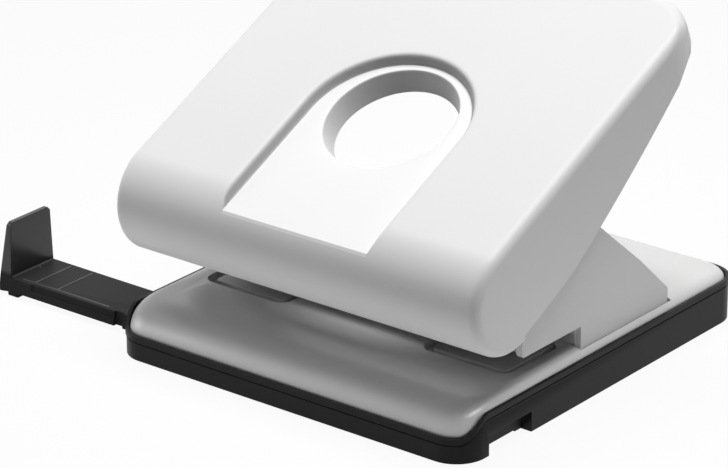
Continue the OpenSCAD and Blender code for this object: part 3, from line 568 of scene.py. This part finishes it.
def shell_sheet(t):
    """One side of the moulding, drawn in by t, as grids, with its lower border as a loop and the
    ring at the foot of the eye's collar."""
    half, edge, far = HALF - t, max(LEAST_EDGE, LONG_EDGE - t), FAR_EDGE - t
    floor_z = INLAY_TOP - INLAY_T - t
    q, across, y, z = keyhole_sides(floor_z, t)
    floor_z, side = recess_side(z, t)
    out, up = side[..., 0], side[..., 1]
    wall = np.stack([across[:, None, 0] * out, y[:, None] + across[:, None, 1] * out,
                     floor_z + up], -1)

    # the flat top, from the recess's rim out to the long edges and the far edge
    rim = np.stack([across[:, 0] * out[:, -1], q + across[:, 1] * out[:, -1]], -1)

    def border(x_end, q_end):
        """Where the stations' directions meet a rectangle in plan, and which meet its far edge."""
        with np.errstate(divide="ignore"):
            reach = np.minimum(x_end / np.abs(across[:, 0]), (q_end - RECESS_MIDDLE) / across[:, 1])
        q_met = q + across[:, 1] * reach
        return np.stack([across[:, 0] * reach, q_met], -1), np.isclose(q_met, q_end)
    top_end = LENGTH - t - far
    q_end = top_end + far * math.pi / 2 + 1
    inner, _ = border(half - edge, top_end)
    outer, on_far = border(half, q_end)
    steps = np.concatenate([[0, 0.006], np.linspace(0.04, 0.96, 14), [0.993]])
    rolls = np.sin(np.linspace(0, math.pi / 2, 14))
    net = np.concatenate([rim[:, None] + (inner - rim)[:, None] * steps[:, None],
                          inner[:, None] + (outer - inner)[:, None] * rolls[:, None]], 1)
    top = shell_point(net[..., 0], net[..., 1], t)

    # the nose below the recess's front line
    line = np.linspace(side[0, 0, 0], -side[0, 0, 0], 24)[1:-1]
    nose_x = np.concatenate([top[0, ::-1, 0], wall[0, ::-1, 0][1:], -line, wall[-1, :, 0],
                             top[-1, 1:, 0]])
    nose_q = -(NOSE - t) * np.linspace(math.acos(floor_z / (NOSE - t)), math.pi, 56)
    nose = shell_point(nose_x[None, :] + 0 * nose_q[:, None], nose_q[:, None] + 0 * nose_x, t)

    # the recess's floor around the eye, and the eye's wall
    front = np.stack([line, np.full(len(line), wall[0, 0, 1]), np.full(len(line), floor_z)], -1)
    ring = np.concatenate([wall[:, 0], front])
    angle = np.arctan2(ring[:, 1] - EYE_MIDDLE, ring[:, 0])
    spoke = np.stack([np.cos(angle), np.sin(angle)], -1)

    def eye_ring(r, at_z):
        return np.concatenate([spoke * r + [0, EYE_MIDDLE], np.full((len(spoke), 1), at_z)], 1)
    taper = (EYE_TOP_R - EYE_LOW_R) / (INLAY_TOP - COLLAR_LOW)
    heights = np.array([floor_z, *(stop - t for stop in COLLAR_STOPS), COLLAR_LOW + COLLAR_EASE,
                        COLLAR_LOW])
    radii = COLLAR_R + 0 * heights if t else EYE_LOW_R + (heights - COLLAR_LOW) * taper
    radii[-1] += -COLLAR_EASE if t else COLLAR_EASE
    collar = np.stack([eye_ring(r, h) for r, h in zip(radii, heights)])
    floor_rows = ring + (collar[0] - ring) * np.linspace(0, 1, 6)[:, None, None]

    # the flat sides, down to their bowed lower edges
    far_stations = np.nonzero(on_far)[0]
    first, last = far_stations[0], far_stations[-1]

    def flank(chain):
        """Rows from a side's upper border, the chain, down to its lower edge, where the chain's
        points are spread by their arc length."""
        run = np.concatenate([[0], np.cumsum(np.linalg.norm(np.diff(chain, axis=0), axis=1))])
        low_y = chain[-1, 1] * run / run[-1]
        lip = edge * np.clip(1 - low_y / LIP_RUN, 0, 1) if not t else 0
        low_z = low_edge(low_y) + lip
        start_z = chain[0, 2] + (low_z - chain[0, 2]) * low_y / LIP_START
        low_z = np.where(low_y < LIP_START, start_z, low_z)
        low = np.stack([chain[:, 0], low_y, low_z], -1)
        return np.stack([chain, chain * 0.5 + low * 0.5, low])
    flank_left = flank(np.concatenate([nose[::-1, 0], top[1:first + 1, -1]]))
    flank_right = flank(np.concatenate([nose[::-1, -1], top[last:-1, -1][::-1]]))
    loop = np.concatenate([nose[-1], flank_right[-1, 1:], top[last - 1:first:-1, -1],
                           flank_left[-1, :0:-1]])
    grids = [(wall, False), (top, False), (nose, False), (floor_rows, True), (collar, True),
             (flank_left, False), (flank_right, False)]
    return grids, loop, collar[-1]


outside, outer_loop, outer_ring = shell_sheet(0)
inside, inner_loop, inner_ring = shell_sheet(HANDLE_WALL)


# Painted shade on the keyhole's leaning wall: its darker grey, its reach from the inlay's outline,
# how far it runs out over the nose, how far below the inlay's top it starts, and the widths over
# which it fades in.
RECESS_SHADE_GREY, WALL_REACH, NOSE_RUN, WALL_START = (0.48, 0.48, 0.48), 2.2, 9.5, 0.5
OUT_FADE, TOP_FADE, FOOT_FADE = 0.6, 1.4, 0.3


def moulded_silver_painted_shade(tone, place):
    """Fine-grained plastic, with painted shade on the recess's leaning wall: a darker grey mixed into
    the base colour where the recess lies in shade. The wall is what lies inside the keyhole's
    outline, above the inlay and below the flat top, and it runs out by a parabola over the nose."""
    x, y, z = (tone.add("SeparateXYZ", {}, {"Vector": place}, out=axis) for axis in "XYZ")
    forth, high = y - NOSE_MIDDLE[0] * MM, z - NOSE_MIDDLE[1] * MM
    up = high * math.cos(TILT) - forth * math.sin(TILT)
    along = forth * math.cos(TILT) + high * math.sin(TILT)
    past = along - RECESS_MIDDLE * MM
    past = past.maths("MAXIMUM", past, 0.0)
    reach = tone.maths("SQRT", x * x + past * past)
    on_nose = along.maths("MINIMUM", along, 0.0) * (1 / (NOSE_RUN * MM))
    lean = (1 - on_nose * on_nose) * (WALL_REACH * MM)

    def share(length, over_mm):
        """0 below no length and 1 above over_mm, with an even ramp between."""
        return (length * (1 / (over_mm * MM))).clipped()
    # wall is the mask of the painted shade on the leaning wall.
    wall = (share(lean + INLAY_HALF * MM - reach, OUT_FADE) * share(NOSE * MM - up, TOP_FADE)
            * share(up - (INLAY_TOP - WALL_START) * MM, FOOT_FADE))
    sockets = grained_plastic((0.82,) * 3, (0.86,) * 3, 0.42, grain=2.2, depth=0.006)(tone, place)
    # Painted shade: the base colour turns to the darker grey where the mask is 1.
    sockets["Base Color"] = tone.add("Mix", {"data_type": "RGBA"}, {
        0: wall, 6: sockets["Base Color"], 7: (*RECESS_SHADE_GREY, 1)}, out=2)
    return sockets


handle_silver = finish("handle_silver", moulded_silver_painted_shade, **{"Specular IOR Level": 0.3})
joints = [(np.stack([outer_loop, inner_loop]), True), (np.stack([outer_ring, inner_ring]), True)]
shell = surface("handle_moulding", outside + inside + joints, "handle",
                handle_silver, on_handle)
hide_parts("handle_shell")


# ---- Ribs and bosses ----
# Stiffening ribs under the handle's top, and the bosses that the lever brackets are screwed to.
# They are moulded in one with the handle.

# A rib's thickness and height, the place and ends of the long ribs, how far all of them are sunk
# into the top, and the round of their edges. Then the two cross ribs and their gap at the sides.
RIB_T, RIB_H, RIB_X, RIB_FROM, RIB_END, SUNK, EDGE_SOFT = 1.6, 4.5, 34.0, -4.0, 6.0, 0.6, 0.5
CROSS_RIBS, CROSS_GAP = (RECESS_MIDDLE + 34, LENGTH - 20), 1.2
# The bosses' places, radius, lower face and its bevel, and the screw hole's radius, bevel and depth.
BOSS_X, BOSSES_Y, BOSS_R, BOSS_FROM, BOSS_EASE = 46.0, (31, 57), 4.0, 11.4, 0.3
SCREW_R, SCREW_EASE, SCREW_DEPTH = 1.52, 0.2, 2.7


def rib(start, end):
    """A rib between two points (x, y) of the handle's underside: a U-shaped section with a rounded
    edge, carried along a line, and closed at its ends."""
    start, end = np.array(start, float), np.array(end, float)
    along = (end - start) / np.linalg.norm(end - start)
    side = np.array([-along[1], along[0]])
    low, half = INSIDE_TOP - RIB_H, RIB_T / 2
    soft = low + EDGE_SOFT
    section = np.concatenate([[(half, INSIDE_TOP + SUNK), (half, soft)],
                              curve((half, soft), (half, low), (0, low), 4)[1:],
                              curve((0, low), (-half, low), (-half, soft), 4)[1:],
                              [(-half, INSIDE_TOP + SUNK)]])
    rings = [np.concatenate([at + section[:, :1] * side, section[:, 1:]], 1) for at in (start, end)]
    ends = [np.broadcast_to(r.mean(0), r.shape) for r in rings]
    return np.stack([ends[0], rings[0], rings[1], ends[1]]), True


def turned(profile, centre, n=32):
    """A profile of (radius, height) turned round the upright line through centre."""
    r, height = np.hsplit(np.asarray(profile, float), 2)
    angle = np.linspace(0, 2 * math.pi, n, endpoint=False)
    return np.stack([centre[0] + r * np.cos(angle), centre[1] + r * np.sin(angle),
                     height + 0 * angle], -1), True


boss = [(0, INSIDE_TOP + SUNK), (BOSS_R, INSIDE_TOP + SUNK), (BOSS_R, BOSS_FROM + BOSS_EASE),
        (BOSS_R - BOSS_EASE, BOSS_FROM), (SCREW_R + SCREW_EASE, BOSS_FROM),
        (SCREW_R, BOSS_FROM + SCREW_EASE), (SCREW_R, BOSS_FROM + SCREW_DEPTH),
        (0, BOSS_FROM + SCREW_DEPTH)]
rib_x = RIB_X + RIB_T / 2
ribs = [rib((s * rib_x, RIB_FROM), (s * rib_x, LENGTH - RIB_END)) for s in (-1, 1)]
ribs += [rib((-HALF + CROSS_GAP, y + RIB_T / 2), (HALF - CROSS_GAP, y + RIB_T / 2))
         for y in CROSS_RIBS]
ribs += [turned(boss, (s * BOSS_X, y)) for s in (-1, 1) for y in BOSSES_Y]
surface("handle_ribs", ribs, "handle", handle_silver, on_handle)

# ---- Keyhole inlay ----
# A thin, brighter and glossier plate that lines the keyhole's floor. It is plain, its front end is
# flush with the nose, and the eye's rim is softly rounded.

# Gaps to the keyhole's wall at the plate's top and bottom and to the eye, and the rim's round.
TOP_GAP, LOW_GAP, EYE_LOW_GAP, EYE_GAP, EYE_ROUND, EYE_DROP = 0.06, 0.02, 0.13, 0.05, 0.45, 0.4
stations = [keyhole_sides(z, 0) for z in (INLAY_TOP, INLAY_TOP - INLAY_T)]


def inlay_loop(level, half, at_z):
    """The plate's outline at a height: the keyhole's sides and its front line on the nose."""
    _, across, y, _ = stations[level]
    sides = np.stack([across[:, 0] * half, y + across[:, 1] * half, at_z + 0 * y], -1)
    line = np.linspace(half, -half, 26)[1:-1]
    front = np.stack([line, y[0] + 0 * line, at_z + 0 * line], -1)
    return np.concatenate([sides, front])


plate_top = inlay_loop(0, INLAY_HALF - TOP_GAP, INLAY_TOP)
plate_low = inlay_loop(1, INLAY_HALF - LOW_GAP, INLAY_TOP - INLAY_T)
angle = np.arctan2(plate_top[:, 1] - EYE_MIDDLE, plate_top[:, 0])
eye_round = curve((EYE_TOP_R - EYE_GAP, INLAY_TOP - EYE_DROP), (EYE_TOP_R, INLAY_TOP),
                  (EYE_TOP_R + EYE_ROUND, INLAY_TOP), 6)
eye_section = np.concatenate([[(EYE_TOP_R - EYE_LOW_GAP, INLAY_TOP - INLAY_T)], eye_round])
rounds = [np.stack([r * np.cos(angle), EYE_MIDDLE + r * np.sin(angle), z + 0 * angle], -1)
          for r, z in eye_section]
plate = [rounds[-1] + (plate_top - rounds[-1]) * s for s in np.linspace(0, 1, 6)[1:]]
tube = np.stack(rounds + plate + [plate_low, rounds[0]])
inlay_silver = finish("inlay_silver", grained_plastic((0.94,) * 3, (0.96,) * 3, 0.35, grain=2.5,
                                                      depth=0.002))
inlay = surface("keyhole_plate", [(tube, True)], "handle", inlay_silver, on_handle)
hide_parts("keyhole_inlay")

# ---- Lever brackets and pressure rod ----
# Two zinc-plated brackets screwed under the handle, which turn on the axle. They carry a turned
# rod, kept by a clip at each end, that presses the punches down.
bracket_steel = finish("bracket_steel", rolled_steel((0.45, 0.46, 0.47), (0.58, 0.59, 0.6), 0.32),
                       Metallic=1.0)
for side in ("left", "right"):
    eased(side + "_lever_bracket", "handle", bracket_steel, 0.2)
eased("bracket_screws", "handle", bright_steel, 0.2)
eased("pressure_rod", "handle", bright_steel, 0.3)
eased("rod_clips", "handle", clip_steel, 0.08)
